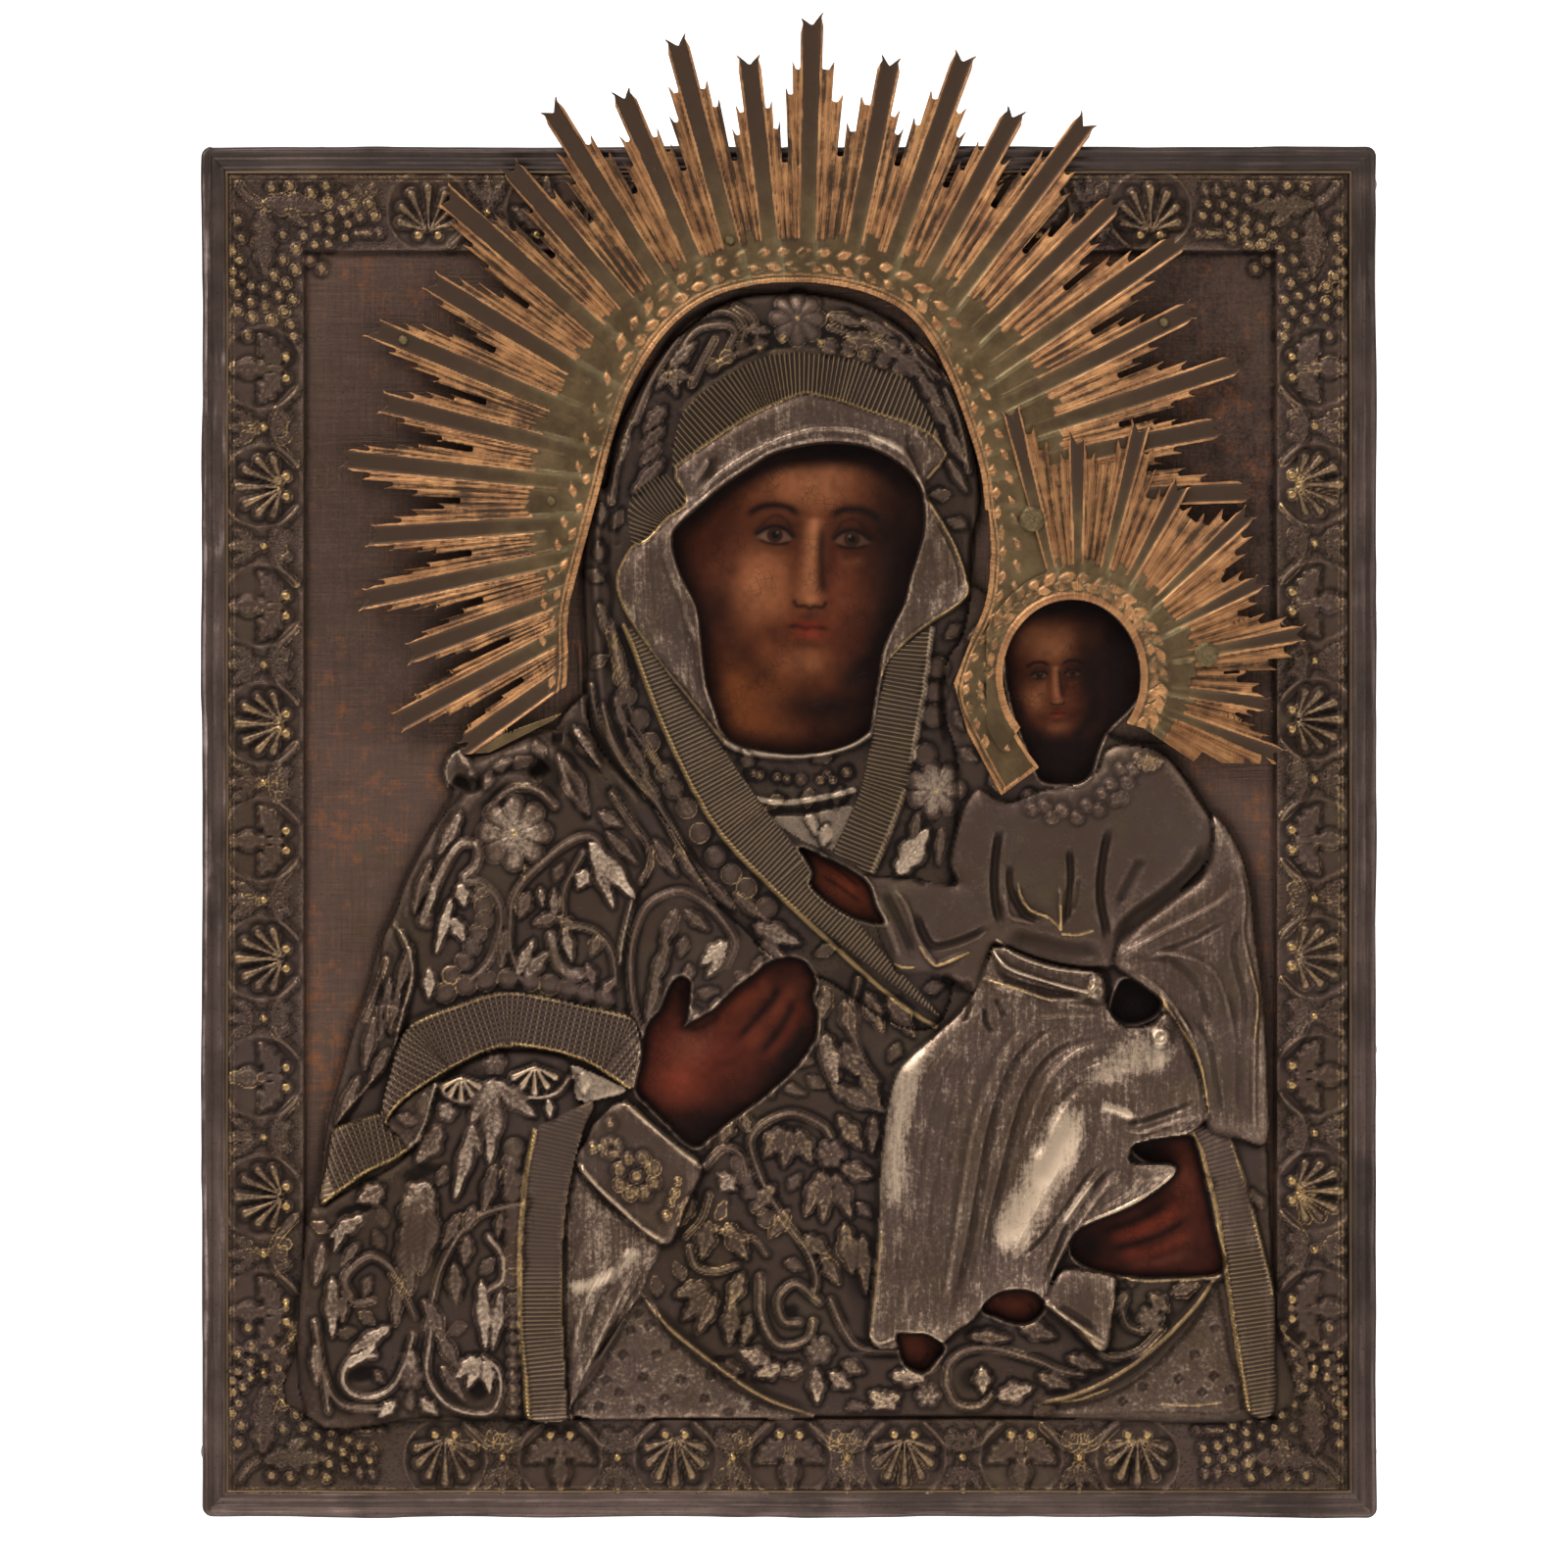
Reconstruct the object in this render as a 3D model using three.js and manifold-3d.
// An icon with an embossed metal cover (oklad): a wooden panel of two planks held by two
// dovetail battens, a painted gesso ground, an embossed sheet cover with openings over the
// painted faces and hands, two rayed haloes, their rivets and pins, the nails in the folded
// sides of the cover, and a swinging hanging ring on the back.
//
// Everything is drawn in a frame that looks at the front: x to the right, y up, and h out
// towards the viewer, with h = 0 on the painted ground and the panel's centre at x = y = 0.
// The group at the end turns that frame upright: +Z up, the front facing -Y, and the origin
// on the face of the upper batten that rests on the wall. All sizes are millimetres.
import * as THREE from "three";
import { mergeVertices } from "three/addons/utils/BufferGeometryUtils.js";
import Module from "manifold-3d";

const wasm = await Module();
wasm.setup();

// Panel
const panelWidth = 266.7; // over the folded sides of the cover: six vershoks of 44.45
const panelHeight = 311.15; // seven vershoks
const plankThickness = 24;
const groundThickness = 2;
const seatGap = 0.25; // what is left between pieces that lie on each other
const plankJointShare = 0.43; // where the glue joint is, across the panel

// Battens
const battenWidth = 38; // at the middle of its length
const battenTaper = 3; // how much wider the driven end is than the middle
const battenUndercut = 2.5; // how far the dovetail spreads on each side
const battenDepth = 8; // let into the planks
const battenProud = 6; // standing out of the back
const battenHeightShare = 0.27; // of the panel's height, above and below its centre
const battenEndInset = 1.5;

// Cover sheet
const sheet = 0.6;
const flapDepth = 22; // how far the folded sides reach back
const mouldingWidth = 6.2;
const mouldingRise = 3.9; // crest, above the painted ground
const borderWidth = 16.4;
const borderRise = 2.2;
const beadRise = 0.4; // of the two fine beads that edge the border
const beadWidth = 1.2;
const fieldRise = 0.9;
const stepWidth = 1; // the slope from the border down to the field
const cutOverrun = 2; // how far every cutting tool runs past what it cuts

// Raised forms of the cover, each above the painted ground
const mantleRise = 4;
const hoodRise = 5.4;
const veilRise = 6.6;
const shoulderRise = 5.4;
const sleeveRise = 5.8;
const tunicRise = 6.4;
const robeRise = 7.8;
const cuffRise = 6.8;
const cloakRise = 6.8;
const robeEndRise = 7; // the end of the robe that hangs over the mother's hand
const footBandRise = 5; // the woven band at the lower right
const formBevel = 1.4; // how softly a raised form rounds over at its edge
const bandRelief = 0.5; // how far a woven hem stands out of the form under it
const bandBevel = 0.35;

// Round leaf motifs of the border
const medallionRadius = 6.2;
const medallionRelief = 0.5;
const medallionInset = 14.2; // of their centres, from the panel's edge
const medallionSides = 14;

// Haloes
const haloSheet = 0.7;
const haloClearance = 1.3; // between the crest of the moulding and the large halo
const hornShare = 0.045; // depth of the swallow tail at a ray's end, of the ray's length
const smallRayShare = 0.87; // length of the narrow rays beside each wide ray
const slotShare = 0.76; // how far out the slot between two neighbours starts
const wideRayHalfWidth = 2.6;
const slotHalfWidth = 0.9;

// Fastenings
const nailRadius = 0.6;
const nailHeadRadius = 1.5;
const nailHeadHeight = 0.7;
const nailLength = 9;
const pinRadius = 0.5;
const pinHeadRadius = 1.1;
const pinHeadHeight = 0.5;
const pinBite = 6; // how far a pin or rivet reaches into the planks
const rivetRadius = 0.9;
const rivetHeadRadius = 2.8;
const rivetHeadHeight = 0.8;
const shankGap = 0.3; // round every nail, pin and rivet
const nailSides = 8;
const rivetSides = 20;
const nailDepthShare = 0.42; // how far back along the folded side its nails sit

// Hanger
const hangerPlateWidth = 34;
const hangerPlateHeight = 10;
const hangerPlateThickness = 1;
const hangerPlateCorner = 2.5;
const hangerDrop = 20; // from the panel's top edge to the eye
const eyeInnerRadius = 2.6;
const eyeWireRadius = 0.8;
const ringWireRadius = 1;
const ringMeanRadius = 9;
const ringLift = 0.3; // between the plate and the ring that lies on it
const hangerNailInset = 3.5;
const hangerNailRadius = 0.7;
const hangerNailHeadRadius = 1.6;
const hangerNailHeadHeight = 0.7;
const hangerNailLength = 12;

// The outlines below are photograph pixels, read by eye. The panel's edges are at these.
const panelLeftPixel = 205;
const panelRightPixel = 1405;
const panelTopPixel = 148;
const panelBottomPixel = 1550;

const coverBack = sheet / 2; // the sheet lies this far off the painted ground
const boardWidth = panelWidth - 2 * (sheet + seatGap);
const boardHeight = panelHeight - 2 * (sheet + seatGap);
const plankFront = -groundThickness - seatGap;
const plankBack = plankFront - plankThickness;
const wallPlane = plankBack - battenProud;
const battenHeight = battenHeightShare * panelHeight;
const haloBack = mouldingRise + haloClearance;
const childHaloBack = haloBack + haloSheet + seatGap;

function fromPixel([px, py]) {
  const across = (px - panelLeftPixel) / (panelRightPixel - panelLeftPixel);
  const down = (py - panelTopPixel) / (panelBottomPixel - panelTopPixel);
  return new THREE.Vector2((across - 0.5) * panelWidth, (0.5 - down) * panelHeight);
}

function outline(pixels) {
  const points = pixels.map(fromPixel);
  return THREE.ShapeUtils.isClockWise(points) ? points.reverse() : points;
}

// Solids: three.js shapes the closed geometry, and manifold-3d joins and cuts it.
function solidOf(geometry) {
  const bare = geometry.clone();
  for (const name of Object.keys(bare.attributes)) {
    if (name !== "position") {
      bare.deleteAttribute(name);
    }
  }
  const merged = mergeVertices(bare, 1e-4);
  return new wasm.Manifold(
    new wasm.Mesh({
      numProp: 3,
      vertProperties: merged.attributes.position.array,
      triVerts: new Uint32Array(merged.index.array),
    }),
  );
}

function geometryOf(solid) {
  const mesh = solid.getMesh();
  const geometry = new THREE.BufferGeometry();
  geometry.setAttribute("position", new THREE.BufferAttribute(mesh.vertProperties, 3));
  geometry.setIndex(new THREE.BufferAttribute(mesh.triVerts, 1));
  const flat = geometry.toNonIndexed();
  flat.computeVertexNormals();
  return flat;
}

function union(solids) {
  return solids.reduce((whole, one) => whole.add(one));
}

function prism(points, low, high) {
  const geometry = new THREE.ExtrudeGeometry(new THREE.Shape(points), {
    depth: high - low,
    bevelEnabled: false,
  });
  return solidOf(geometry.translate(0, 0, low));
}

// A raised form: a prism whose edges round over, drawn in from its outline by inset. Drawing the
// outline in that far and out again first leaves out the corners too sharp for the rounding.
function raised(points, low, high, bevel, inset) {
  const area = new wasm.CrossSection([points.map(({ x, y }) => [x, y])]);
  const soft = area.offset(-bevel - inset, "Miter").offset(bevel, "Miter");
  return union(soft.toPolygons().map((polygon) => {
    const shape = new THREE.Shape(polygon.map(([x, y]) => new THREE.Vector2(x, y)));
    const geometry = new THREE.ExtrudeGeometry(shape, {
      depth: high - low - 2 * bevel,
      bevelEnabled: true,
      bevelThickness: bevel,
      bevelSize: bevel,
      bevelOffset: -bevel,
      bevelSegments: 2,
    });
    return solidOf(geometry.translate(0, 0, low + bevel));
  }));
}

function block(width, height, low, high, x = 0, y = 0) {
  const geometry = new THREE.BoxGeometry(width, height, high - low);
  return solidOf(geometry.translate(x, y, (low + high) / 2));
}

function cylinder(radius, low, high, sides, x = 0, y = 0) {
  const geometry = new THREE.CylinderGeometry(radius, radius, high - low, sides);
  return solidOf(geometry.rotateX(Math.PI / 2).translate(x, y, (low + high) / 2));
}

// A nail, pin or rivet on the +Z axis: its head's underside is at z = 0, the shank below.
function fastener(radius, length, headRadius, headHeight, sides) {
  const profile = [
    new THREE.Vector2(0, -length),
    new THREE.Vector2(radius / 2, -length + radius),
    new THREE.Vector2(radius, -length + 2 * radius),
    new THREE.Vector2(radius, 0),
    new THREE.Vector2(headRadius, 0),
    new THREE.Vector2(headRadius, headHeight / 3),
    new THREE.Vector2((3 * headRadius) / 4, (4 * headHeight) / 5),
    new THREE.Vector2(0, headHeight),
  ];
  return new THREE.LatheGeometry(profile, sides).rotateX(Math.PI / 2);
}

function finish(colour, roughness, metalness) {
  return new THREE.MeshStandardMaterial({ color: colour, roughness, metalness });
}

const finishes = {
  lime: finish(0x8a6a45, 0.8, 0),
  ground: finish(0x5a2412, 0.45, 0),
  cover: finish(0x6a5748, 0.42, 1),
  halo: finish(0xb4793c, 0.38, 1),
  brass: finish(0x8c6f3e, 0.4, 1),
  iron: finish(0x3a322c, 0.6, 1),
};

const model = new THREE.Group();
const upright = new THREE.Group();
upright.rotation.x = Math.PI / 2;
upright.position.set(0, wallPlane, -battenHeight);
model.add(upright);

function addPiece(name, geometry, material, parent = upright) {
  const mesh = new THREE.Mesh(geometry, material);
  mesh.name = name;
  parent.add(mesh);
  return mesh;
}

// Where the fastenings go
const haloPinPixels = {
  halo_pin_left: [412, 347],
  halo_pin_right: [1187, 329],
  halo_pin_top: [745, 245],
  halo_pin_side: [563, 511],
};
const childRivetPixels = {
  child_halo_rivet_upper: [1053, 530],
  child_halo_rivet_lower: [1230, 668],
};
const sideNailShares = [-0.455, -0.16, 0.16, 0.475]; // of the panel's height
const endNailShares = [-0.4, 0, 0.4]; // of the panel's width
const nailLevel = -nailDepthShare * flapDepth;

const sideNails = [];
for (const [side, turn] of [["left", -1], ["right", 1]]) {
  sideNailShares.forEach((share, i) => {
    sideNails.push({
      name: `side_nail_${side}_${i + 1}`,
      at: new THREE.Vector3((turn * panelWidth) / 2, share * panelHeight, nailLevel),
      out: new THREE.Vector3(turn, 0, 0),
    });
  });
}
for (const [side, turn] of [["bottom", -1], ["top", 1]]) {
  endNailShares.forEach((share, i) => {
    sideNails.push({
      name: `side_nail_${side}_${i + 1}`,
      at: new THREE.Vector3(share * panelWidth, (turn * panelHeight) / 2, nailLevel),
      out: new THREE.Vector3(0, turn, 0),
    });
  });
}

function turnTo(geometry, nail) {
  const forward = new THREE.Vector3(0, 0, 1);
  geometry.applyQuaternion(new THREE.Quaternion().setFromUnitVectors(forward, nail.out));
  return geometry.translate(nail.at.x, nail.at.y, nail.at.z);
}

function nailHole(nail) {
  const length = nailLength + cutOverrun;
  const geometry = new THREE.CylinderGeometry(
    nailRadius + shankGap, nailRadius + shankGap, length + cutOverrun, nailSides);
  geometry.rotateX(Math.PI / 2).translate(0, 0, (cutOverrun - length) / 2);
  return solidOf(turnTo(geometry, nail));
}

const sideNailHoles = union(sideNails.map(nailHole));
const shankFloor = plankFront - pinBite - cutOverrun;
const shankTop = childHaloBack + haloSheet + cutOverrun;
const pinHoles = union(
  Object.values(haloPinPixels).map((pixel) => {
    const at = fromPixel(pixel);
    return cylinder(pinRadius + shankGap, shankFloor, shankTop, nailSides, at.x, at.y);
  }),
);
const rivetHoles = union(
  Object.values(childRivetPixels).map((pixel) => {
    const at = fromPixel(pixel);
    return cylinder(rivetRadius + shankGap, shankFloor, shankTop, nailSides, at.x, at.y);
  }),
);
const frontHoles = pinHoles.add(rivetHoles);

// Battens: dovetail in section, tapered along their length, driven in from opposite sides
function battenSolid(wideEnd, gap) {
  const length = boardWidth - 2 * battenEndInset + 2 * (gap > 0 ? boardWidth : 0);
  const reach = length / 2;
  const spreadPerLength = battenTaper / (boardWidth / 2);
  const section = (x) => {
    const half = battenWidth / 2 + (wideEnd * x * spreadPerLength) / 2 + gap;
    const buried = plankBack + battenDepth + gap;
    const outer = wallPlane - (gap > 0 ? cutOverrun : 0);
    return [
      [x, -half, outer],
      [x, half, outer],
      [x, half, plankBack],
      [x, half + battenUndercut, buried],
      [x, -half - battenUndercut, buried],
      [x, -half, plankBack],
    ];
  };
  const near = section(-reach);
  const far = section(reach);
  const count = near.length;
  const index = [];
  for (let i = 0; i < count; i++) {
    const next = (i + 1) % count;
    index.push(i, next, count + next, i, count + next, count + i);
  }
  // The end caps: the narrow neck is a rectangle, and the tail below it a trapezium.
  const neck = [0, 1, 2, 5];
  const tail = [5, 2, 3, 4];
  for (const [a, b, c, d] of [neck, tail]) {
    index.push(a, c, b, a, d, c);
    index.push(count + a, count + b, count + c, count + a, count + c, count + d);
  }
  const geometry = new THREE.BufferGeometry();
  geometry.setAttribute("position", new THREE.Float32BufferAttribute([...near, ...far].flat(), 3));
  geometry.setIndex(index);
  return solidOf(geometry);
}

const battens = { batten_upper: [1, battenHeight], batten_lower: [-1, -battenHeight] };
const battenSlots = union(
  Object.values(battens).map(([wideEnd, y]) => battenSolid(wideEnd, seatGap).translate([0, y, 0])),
);
for (const [name, [wideEnd, y]] of Object.entries(battens)) {
  addPiece(name, geometryOf(battenSolid(wideEnd, 0)), finishes.lime).position.y = y;
}

// Planks
const jointX = (plankJointShare - 0.5) * boardWidth;
const hangerY = panelHeight / 2 - hangerDrop;
const hangerNailX = hangerPlateWidth / 2 - hangerNailInset;
const hangerNailHoles = union(
  [-hangerNailX, hangerNailX].map((x) =>
    cylinder(hangerNailRadius + shankGap, plankBack - battenProud,
      plankBack + hangerNailLength, nailSides, x, hangerY)),
);
const plankEnds = {
  plank_left: [-boardWidth / 2, jointX - seatGap / 2],
  plank_right: [jointX + seatGap / 2, boardWidth / 2],
};
for (const [name, [low, high]] of Object.entries(plankEnds)) {
  const plank = block(high - low, boardHeight, plankBack, plankFront, (low + high) / 2)
    .subtract(battenSlots)
    .subtract(sideNailHoles)
    .subtract(frontHoles)
    .subtract(hangerNailHoles);
  addPiece(name, geometryOf(plank), finishes.lime);
}

// Painted gesso ground
const ground = block(boardWidth, boardHeight, -groundThickness, 0).subtract(frontHoles);
addPiece("painted_ground", geometryOf(ground), finishes.ground);

// Cover: the moulded frame with its folded sides is one profile run round the panel
const bandStart = mouldingWidth + beadWidth;
const bandEnd = mouldingWidth + borderWidth;
const fieldInset = bandEnd + stepWidth;
const mouldingShares = [ // across the moulding, and up it from the border
  [0, 0.1],
  [0.04, 0.5],
  [0.16, 0.84],
  [0.34, 1],
  [0.6, 1],
  [0.82, 0.72],
  [0.94, 0.2],
];
const frameProfile = [
  [0, -flapDepth],
  ...mouldingShares.map(([across, up]) => [
    across * mouldingWidth,
    borderRise + up * (mouldingRise - borderRise),
  ]),
  [mouldingWidth, borderRise - beadRise],
  [mouldingWidth + beadWidth / 2, borderRise + beadRise],
  [bandStart, borderRise],
  [bandEnd - beadWidth, borderRise],
  [bandEnd - beadWidth / 2, borderRise + beadRise],
  [bandEnd, borderRise],
  [fieldInset, fieldRise],
  [fieldInset + stepWidth, fieldRise],
];

// The same line one sheet further in, so the two make a wall of that thickness.
function innerLine(line, thickness) {
  const normalOf = (a, b) => {
    const dx = b[0] - a[0];
    const dy = b[1] - a[1];
    const length = Math.hypot(dx, dy);
    return [dy / length, -dx / length];
  };
  return line.map((point, i) => {
    const before = i > 0 ? normalOf(line[i - 1], point) : normalOf(point, line[i + 1]);
    const after = i < line.length - 1 ? normalOf(point, line[i + 1]) : before;
    const sum = [before[0] + after[0], before[1] + after[1]];
    const scale = thickness / ((1 + before[0] * after[0] + before[1] * after[1]) / 2) / 2;
    return [point[0] + sum[0] * scale, point[1] + sum[1] * scale];
  });
}

function sweptRound(loop, width, height) {
  const corners = [[-1, -1], [1, -1], [1, 1], [-1, 1]];
  const positions = [];
  for (const [sx, sy] of corners) {
    for (const [inset, h] of loop) {
      positions.push(sx * (width / 2 - inset), sy * (height / 2 - inset), h);
    }
  }
  const count = loop.length;
  const index = [];
  for (let c = 0; c < corners.length; c++) {
    const here = c * count;
    const there = ((c + 1) % corners.length) * count;
    for (let i = 0; i < count; i++) {
      const next = (i + 1) % count;
      index.push(here + i, there + i, there + next, here + i, there + next, here + next);
    }
  }
  const geometry = new THREE.BufferGeometry();
  geometry.setAttribute("position", new THREE.Float32BufferAttribute(positions, 3));
  geometry.setIndex(index);
  return solidOf(geometry);
}

const frameLoop = [...frameProfile, ...innerLine(frameProfile, sheet).reverse()];
const frameRing = sweptRound(frameLoop, panelWidth, panelHeight);
const fieldPlate = block(
  panelWidth - 2 * fieldInset - stepWidth, panelHeight - 2 * fieldInset - stepWidth,
  fieldRise - sheet, fieldRise);

// Raised forms of the two figures, from the lowest to the highest
const mantlePixels = [
  [324, 1436], [322, 1262], [333, 1222], [341, 1165], [350, 1110], [360, 1068], [380, 1012],
  [398, 948], [418, 912], [444, 866], [474, 818], [462, 796], [470, 778], [520, 764],
  [556, 748], [584, 728], [604, 700], [1000, 700], [1064, 760], [1180, 782], [1226, 826],
  [1258, 870], [1272, 940], [1284, 1040], [1288, 1160], [1290, 1436],
];
const hoodPixels = [
  [606, 720], [602, 650], [610, 570], [626, 500], [648, 428], [676, 378], [714, 342],
  [760, 318], [806, 308], [856, 312], [898, 328], [932, 356], [958, 394], [976, 440],
  [988, 492], [994, 548], [990, 600], [974, 650], [966, 700], [972, 760], [984, 808],
  [970, 860], [900, 890], [800, 920], [742, 874], [690, 800], [640, 760],
];
const veilPixels = [
  [738, 748], [700, 712], [668, 676], [634, 622], [632, 590], [648, 552], [690, 520],
  [702, 496], [690, 478], [722, 452], [768, 424], [806, 402], [836, 402], [880, 418],
  [936, 438], [960, 460], [944, 490], [962, 530], [984, 588], [978, 616], [938, 642],
  [908, 668], [898, 712], [888, 750], [860, 776], [810, 784], [766, 772],
];
const shoulderPixels = [
  [398, 1128], [420, 1090], [430, 1040], [440, 960], [450, 880], [476, 826], [516, 794],
  [556, 796], [584, 842], [640, 912], [650, 990], [646, 1060], [650, 1108], [600, 1084],
  [530, 1064], [462, 1086],
];
const sleevePixels = [
  [336, 1434], [334, 1268], [352, 1214], [418, 1172], [446, 1118], [486, 1092], [530, 1082],
  [580, 1096], [632, 1120], [604, 1160], [590, 1230], [582, 1330], [588, 1434],
];
const cuffPixels = [
  [640, 1124], [708, 1180], [718, 1196], [676, 1268], [652, 1256], [592, 1204], [598, 1168],
  [612, 1140],
];
const tunicPixels = [
  [1000, 832], [1028, 824], [1066, 806], [1104, 803], [1130, 785], [1150, 768], [1182, 778], [1212, 818],
  [1232, 858], [1222, 890], [1180, 918], [1144, 950], [1130, 984], [1060, 980], [1010, 968],
  [1000, 990], [958, 986], [918, 984], [898, 934], [886, 900], [934, 894], [976, 888],
  [984, 836],
];
const robePixels = [
  [1004, 1002], [1004, 974], [1064, 984], [1128, 990], [1160, 1003], [1190, 1040], [1212, 1075],
  [1226, 1110], [1232, 1150], [1206, 1160], [1160, 1170],
  [1156, 1182], [1196, 1190], [1194, 1204], [1100, 1250], [1084, 1290], [1066, 1326],
  [1020, 1318], [980, 1360],
  [958, 1372], [892, 1366], [888, 1340], [898, 1200], [906, 1116], [926, 1080], [968, 1040],
];
const cloakPixels = [
  [1237, 832], [1262, 862], [1275, 905], [1281, 960], [1289, 1020], [1293, 1100], [1293, 1162],
  [1262, 1163], [1214, 1146], [1204, 1108], [1192, 1080], [1170, 1046], [1146, 1014],
  [1136, 992], [1142, 966], [1168, 944], [1204, 918], [1230, 890],
];
const robeEndPixels = [
  [1078, 1290], [1114, 1298], [1135, 1302], [1139, 1312], [1135, 1344], [1130, 1372],
  [1122, 1378], [1110, 1370], [1086, 1350], [1062, 1328],
];
const forms = [
  [mantlePixels, mantleRise],
  [hoodPixels, hoodRise],
  [veilPixels, veilRise],
  [shoulderPixels, shoulderRise],
  [sleevePixels, sleeveRise],
  [cuffPixels, cuffRise],
  [cloakPixels, cloakRise],
  [tunicPixels, tunicRise],
  [robePixels, robeRise],
  [robeEndPixels, robeEndRise],
];

// Woven bands that edge the hood and the sleeves
const browBandPixels = [
  [692, 440], [700, 416], [740, 382], [775, 364], [818, 358], [869, 364], [922, 384],
  [942, 410], [962, 458], [925, 432], [858, 411], [818, 402], [761, 427], [700, 470],
];
const breastBandLeftPixels = [
  [642, 640], [671, 674], [698, 712], [730, 752], [784, 829], [816, 870], [831, 907],
  [868, 934], [905, 975], [954, 1040], [935, 1038], [880, 992], [802, 920], [754, 872],
  [706, 803], [666, 714], [646, 668],
];
const breastBandRightPixels = [
  [909, 674], [948, 646], [940, 728], [923, 811], [891, 890], [853, 870], [877, 808],
  [892, 741], [899, 704],
];
const sleeveHemPixels = [
  [420, 1046], [468, 1026], [515, 1013], [560, 1019], [600, 1028], [643, 1038], [654, 1080],
  [642, 1109], [578, 1076], [524, 1068], [471, 1084], [417, 1119], [396, 1144], [390, 1138],
  [398, 1097], [406, 1070],
];
const outerHemPixels = [
  [332, 1226], [329, 1214], [341, 1155], [387, 1140], [416, 1172], [377, 1197],
];
const uprightBandPixels = [
  [547, 1155], [603, 1127], [584, 1196], [574, 1284], [576, 1378], [580, 1434], [540, 1434],
  [532, 1365], [531, 1298], [535, 1231],
];
const footBandPixels = [
  [1214, 1160], [1239, 1218], [1252, 1301], [1258, 1344], [1270, 1432], [1286, 1432],
  [1286, 1300], [1270, 1207], [1254, 1166],
];
const hems = [
  [browBandPixels, hoodRise + bandRelief],
  [breastBandLeftPixels, hoodRise + bandRelief],
  [breastBandRightPixels, hoodRise + bandRelief],
  [sleeveHemPixels, shoulderRise + bandRelief],
  [outerHemPixels, shoulderRise - bandBevel],
  [uprightBandPixels, sleeveRise + bandRelief],
  [footBandPixels, footBandRise],
].map(([pixels, rise]) => [outline(pixels), rise]);

// Where the border's medallions stand along each side
const sideMedallionPixels = [375, 496, 617, 738, 858, 979, 1100, 1221, 1340];
const bottomMedallionPixels = [454, 572, 689, 806, 923, 1042, 1161];
const topMedallionPixels = [437, 558, 680, 802, 925, 1050, 1174];
const medallionCentres = [
  ...[-1, 1].flatMap((side) => sideMedallionPixels.map((pixel) =>
    [side * (panelWidth / 2 - medallionInset), fromPixel([panelLeftPixel, pixel]).y])),
  ...bottomMedallionPixels.map((pixel) =>
    [fromPixel([pixel, panelTopPixel]).x, medallionInset - panelHeight / 2]),
  ...topMedallionPixels.map((pixel) =>
    [fromPixel([pixel, panelTopPixel]).x, panelHeight / 2 - medallionInset]),
];
function medallions(radius, low, high) {
  return medallionCentres.map(([x, y]) => cylinder(radius, low, high, medallionSides, x, y));
}

// Openings over the painting
const openingPixels = {
  mother_face: [
    [733, 740], [726, 704], [719, 660], [712, 624], [696, 588], [685, 556], [692, 536],
    [724, 506], [752, 476], [790, 458], [830, 451], [870, 453], [904, 463], [926, 484],
    [940, 510], [938, 548], [928, 596], [908, 652], [897, 700], [890, 742], [862, 761],
    [815, 769], [764, 760],
  ],
  child_face: [
    [1058, 797], [1040, 752], [1026, 716], [1020, 682], [1028, 650], [1050, 626], [1084, 614],
    [1116, 622], [1144, 646], [1160, 676], [1162, 706], [1140, 740], [1128, 764], [1114, 790],
    [1096, 798],
  ],
  mother_right_hand: [
    [656, 1112], [656, 1072], [666, 1038], [684, 1006], [696, 999], [703, 1010], [698, 1042],
    [712, 1043], [744, 1020], [782, 988], [806, 981], [827, 990], [831, 1016], [835, 1046],
    [822, 1084], [784, 1118], [746, 1146], [714, 1167], [690, 1150],
  ],
  child_blessing_hand: [
    [820, 866], [856, 880], [886, 898], [898, 941], [858, 926], [830, 906],
  ],
  child_scroll_hand: [
    [1147, 1001], [1172, 1011], [1187, 1023], [1168, 1040], [1140, 1040], [1134, 1020],
  ],
  mother_left_hand: [
    [1158, 1174], [1176, 1164], [1212, 1162], [1230, 1210], [1240, 1260], [1242, 1299],
    [1172, 1301], [1116, 1294], [1094, 1280], [1104, 1254], [1152, 1232], [1198, 1200],
    [1190, 1187], [1164, 1184],
  ],
  child_foot_near: [
    [917, 1364], [938, 1363], [961, 1376], [944, 1400], [924, 1386],
  ],
  child_foot_far: [
    [1006, 1336], [1022, 1319], [1056, 1319], [1066, 1332], [1046, 1350], [1022, 1347],
  ],
};

const outerForms = [
  ...forms.map(([pixels, rise]) => raised(outline(pixels), coverBack - formBevel, rise, formBevel, 0)),
  ...hems.map(([points, rise]) => raised(points, coverBack - formBevel, rise, bandBevel, 0)),
].map((solid) => solid.subtract(block(panelWidth, panelHeight, -cutOverrun, fieldRise - sheet)));
const hollows = [
  ...forms.map(([pixels, rise]) => raised(outline(pixels), -cutOverrun, rise - sheet, formBevel, sheet)),
  ...hems.map(([points, rise]) => raised(points, -cutOverrun, rise - sheet, bandBevel, sheet)),
  ...medallions(medallionRadius - sheet, -cutOverrun, borderRise + medallionRelief - sheet),
];
const windows = Object.values(openingPixels).map((pixels) =>
  prism(outline(pixels), -cutOverrun, robeRise + cutOverrun));
const bosses = medallions(medallionRadius, borderRise - sheet / 2, borderRise + medallionRelief);
const cover = union([frameRing, fieldPlate, ...bosses, ...outerForms])
  .subtract(union(hollows))
  .subtract(union(windows))
  .subtract(sideNailHoles)
  .subtract(frontHoles);
addPiece("oklad_cover", geometryOf(cover), finishes.cover);

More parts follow.
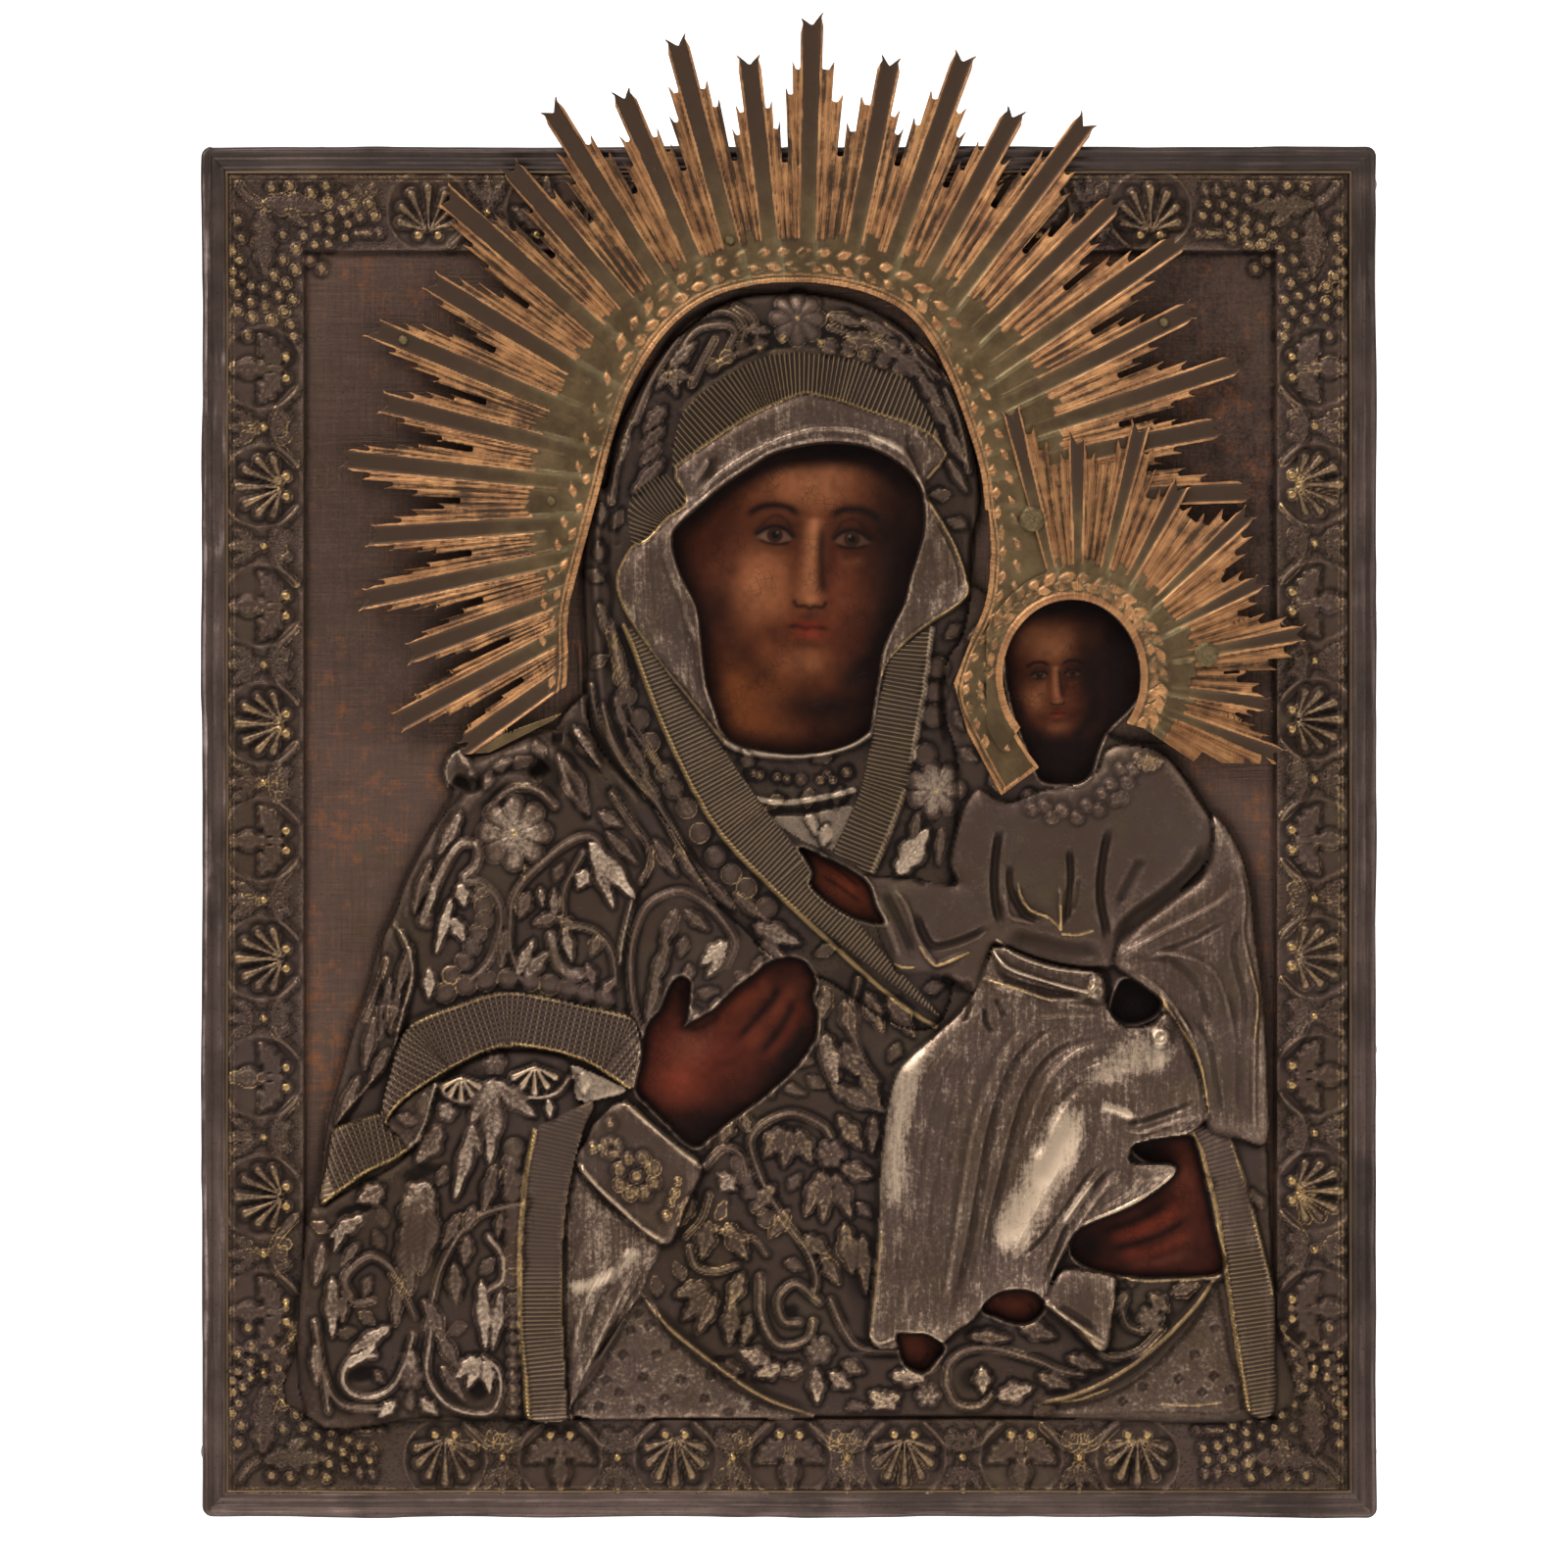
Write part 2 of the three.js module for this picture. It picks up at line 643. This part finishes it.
// Haloes: a band round the head with rays in the plane of the sheet. Each wide ray is given
// by the pixel between the two horns of its swallow tail.
function rayedEdge(centrePixel, tipPixels) {
  const centre = fromPixel(centrePixel);
  const rays = tipPixels.map((pixel) => {
    const spoke = fromPixel(pixel).sub(centre);
    return { angle: Math.atan2(spoke.x, spoke.y), length: spoke.length() };
  });
  const at = (angle, length) =>
    new THREE.Vector2(Math.sin(angle), Math.cos(angle)).multiplyScalar(length).add(centre);
  const points = [];
  rays.forEach((ray, i) => {
    const half = wideRayHalfWidth / ray.length;
    const horn = ray.length * (1 + hornShare / 2);
    const notch = ray.length * (1 - hornShare / 2);
    const small = ray.length * smallRayShare;
    points.push(at(ray.angle - half, small), at(ray.angle - half, horn), at(ray.angle, notch),
      at(ray.angle + half, horn), at(ray.angle + half, small));
    const next = rays[i + 1];
    if (next) {
      const middle = (ray.angle + next.angle) / 2;
      const mean = (ray.length + next.length) / 2;
      const gap = slotHalfWidth / mean;
      points.push(at(middle - gap, mean * smallRayShare), at(middle, mean * slotShare),
        at(middle + gap, mean * smallRayShare));
    }
  });
  return points;
}

const motherHaloCentrePixel = [812, 515];
const motherRayPixels = [
  [405, 739], [418, 672], [362, 614], [378, 545], [345, 468], [389, 411], [377, 333],
  [438, 285], [453, 197], [517, 164], [560, 103], [633, 93], [691, 38], [764, 58], [831, 20],
  [909, 60], [984, 56], [1037, 114], [1110, 123], [1139, 203], [1205, 246], [1218, 314],
  [1264, 370], [1247, 437], [1281, 500],
];
// Down the right leg of the arch to its cut end, and back round the inside of the arch.
const motherRimPixels = [
  [1180, 560], [1046, 610], [1020, 650], [1013, 690], [1030, 728], [1060, 785], [1022, 812],
  [996, 778], [980, 736], [973, 698], [986, 652], [1002, 606], [1008, 560], [1000, 490],
  [984, 430], [960, 374], [922, 328], [872, 302], [816, 294], [762, 302], [708, 328],
  [664, 370], [632, 430], [610, 500], [594, 560], [582, 640], [574, 704], [564, 727],
  [474, 769], [463, 757],
];
const motherHaloOutline = [
  ...rayedEdge(motherHaloCentrePixel, motherRayPixels),
  ...motherRimPixels.map(fromPixel),
].reverse();
const motherHalo = prism(motherHaloOutline, haloBack, haloBack + haloSheet)
  .subtract(frontHoles);
addPiece("mother_halo", geometryOf(motherHalo), finishes.halo);

const childHaloCentrePixel = [1092, 700];
const childRayPixels = [
  [1028, 424], [1100, 448], [1165, 434], [1205, 491], [1278, 522], [1291, 590], [1326, 645],
  [1296, 692], [1298, 722], [1308, 772],
];
const childRimPixels = [
  [1266, 780], [1221, 778], [1174, 750], [1172, 714], [1168, 684], [1158, 652], [1140, 628],
  [1112, 611], [1084, 608], [1054, 617], [1032, 636], [1019, 662], [1016, 700], [1005, 700],
  [1008, 650], [1020, 612], [1047, 584],
];
const childHaloOutline = [
  ...rayedEdge(childHaloCentrePixel, childRayPixels),
  ...childRimPixels.map(fromPixel),
].reverse();
const childHalo = prism(childHaloOutline, childHaloBack, childHaloBack + haloSheet)
  .subtract(rivetHoles);
addPiece("child_halo", geometryOf(childHalo), finishes.halo);

// Pins and rivets through the haloes, and the nails in the folded sides
function addFrontFastener(name, pixel, under, radius, headRadius, headHeight, sides, material) {
  const length = under - plankFront + pinBite;
  const at = fromPixel(pixel);
  const piece = addPiece(name, fastener(radius, length, headRadius, headHeight, sides), material);
  piece.position.set(at.x, at.y, under);
}

for (const [name, pixel] of Object.entries(haloPinPixels)) {
  addFrontFastener(name, pixel, haloBack + haloSheet + seatGap, pinRadius, pinHeadRadius,
    pinHeadHeight, nailSides, finishes.brass);
}
for (const [name, pixel] of Object.entries(childRivetPixels)) {
  addFrontFastener(name, pixel, childHaloBack + haloSheet + seatGap, rivetRadius,
    rivetHeadRadius, rivetHeadHeight, rivetSides, finishes.brass);
}
for (const nail of sideNails) {
  const seat = { ...nail, at: nail.at.clone().addScaledVector(nail.out, seatGap) };
  const shape = fastener(nailRadius, nailLength, nailHeadRadius, nailHeadHeight, nailSides);
  addPiece(nail.name, turnTo(shape, seat), finishes.brass);
}

// Hanger: a plate nailed to the back, a wire eye on it, and a ring that swings in the eye
const plateOuter = plankBack - seatGap - hangerPlateThickness;
const ringAxis = plateOuter - ringLift - ringWireRadius;
const hanger = new THREE.Group();
hanger.position.set(0, hangerY, 0);
upright.add(hanger);

function roundedRectangle(width, height, corner) {
  const shape = new THREE.Shape();
  const x = width / 2 - corner;
  const y = height / 2 - corner;
  shape.absarc(x, y, corner, 0, Math.PI / 2);
  shape.absarc(-x, y, corner, Math.PI / 2, Math.PI);
  shape.absarc(-x, -y, corner, Math.PI, (3 * Math.PI) / 2);
  shape.absarc(x, -y, corner, (3 * Math.PI) / 2, 2 * Math.PI);
  return shape;
}

const plateGeometry = new THREE.ExtrudeGeometry(
  roundedRectangle(hangerPlateWidth, hangerPlateHeight, hangerPlateCorner),
  { depth: hangerPlateThickness, bevelEnabled: false, curveSegments: 3 });
const plate = solidOf(plateGeometry.translate(0, 0, plateOuter)).subtract(
  hangerNailHoles.translate([0, -hangerY, 0]));
// The eye is half a wire ring soldered to the plate, square to it and upright.
const eyeWire = new THREE.TorusGeometry(eyeInnerRadius + eyeWireRadius, eyeWireRadius, 6, 16);
const eye = solidOf(eyeWire.rotateY(Math.PI / 2).translate(0, 0, plateOuter)).subtract(
  block(hangerPlateWidth, hangerPlateWidth, plateOuter + hangerPlateThickness / 2,
    plateOuter + hangerPlateWidth));
addPiece("hanger_plate", geometryOf(plate.add(eye)), finishes.brass, hanger);

const ringGeometry = new THREE.TorusGeometry(ringMeanRadius, ringWireRadius, 8, 32);
addPiece("hanging_ring", ringGeometry, finishes.brass, hanger).position.set(
  0, -ringMeanRadius, ringAxis);

for (const [name, x] of [["hanger_nail_left", -hangerNailX], ["hanger_nail_right", hangerNailX]]) {
  const nail = addPiece(name, fastener(hangerNailRadius, hangerNailLength - cutOverrun,
    hangerNailHeadRadius, hangerNailHeadHeight, nailSides), finishes.iron, hanger);
  nail.rotation.x = Math.PI;
  nail.position.set(x, 0, plateOuter - seatGap);
}

export default model;
